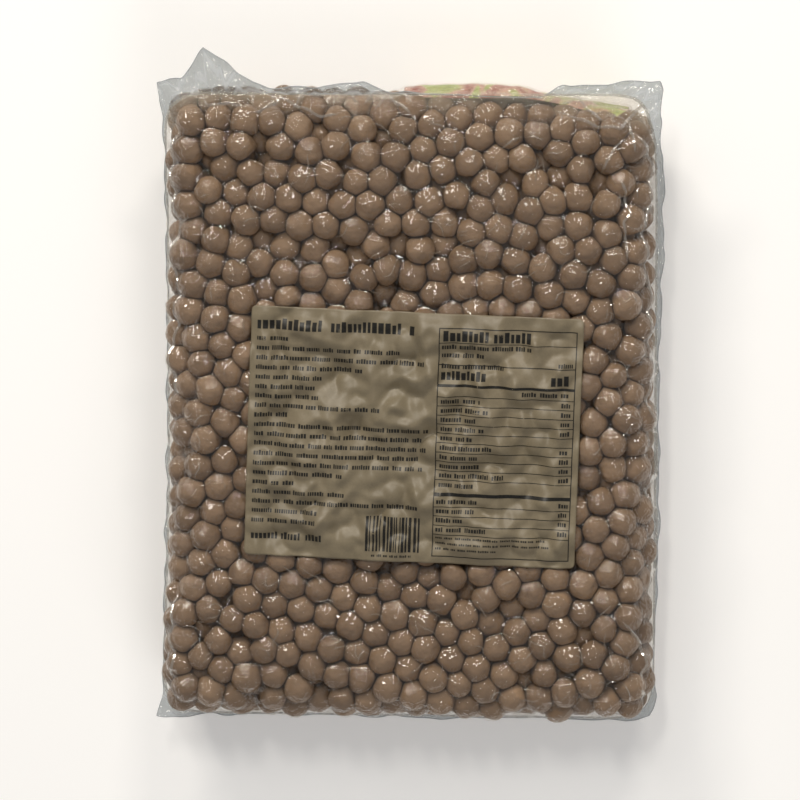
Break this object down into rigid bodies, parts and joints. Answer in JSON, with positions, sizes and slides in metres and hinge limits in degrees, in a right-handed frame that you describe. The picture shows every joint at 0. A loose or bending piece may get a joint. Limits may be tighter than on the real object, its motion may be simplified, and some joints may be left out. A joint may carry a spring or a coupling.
{
  "type": "vacuum bag of tapioca pearls",
  "caption": "Clear vacuum-sealed bag of uncooked taro tapioca pearls, lying with its information label up, a printed sheet on the back.",
  "frame": {"origin": "centre of the pack's box, on the surface that it lies on", "axes": "+X to the label's right, +Y towards the sealed head end, +Z out of the labelled face"},
  "size_m": [0.236, 0.3152, 0.0586],
  "materials": {
    "pearl": "matte",
    "film": "clear, glossy",
    "label": "semi-matte under film",
    "print": "glossy print"
  },
  "bodies": {
    "root": {"bag_of_pearls": "pearl", "info_label": "label", "print_sheet": "print"}
  },
  "joints": []
}
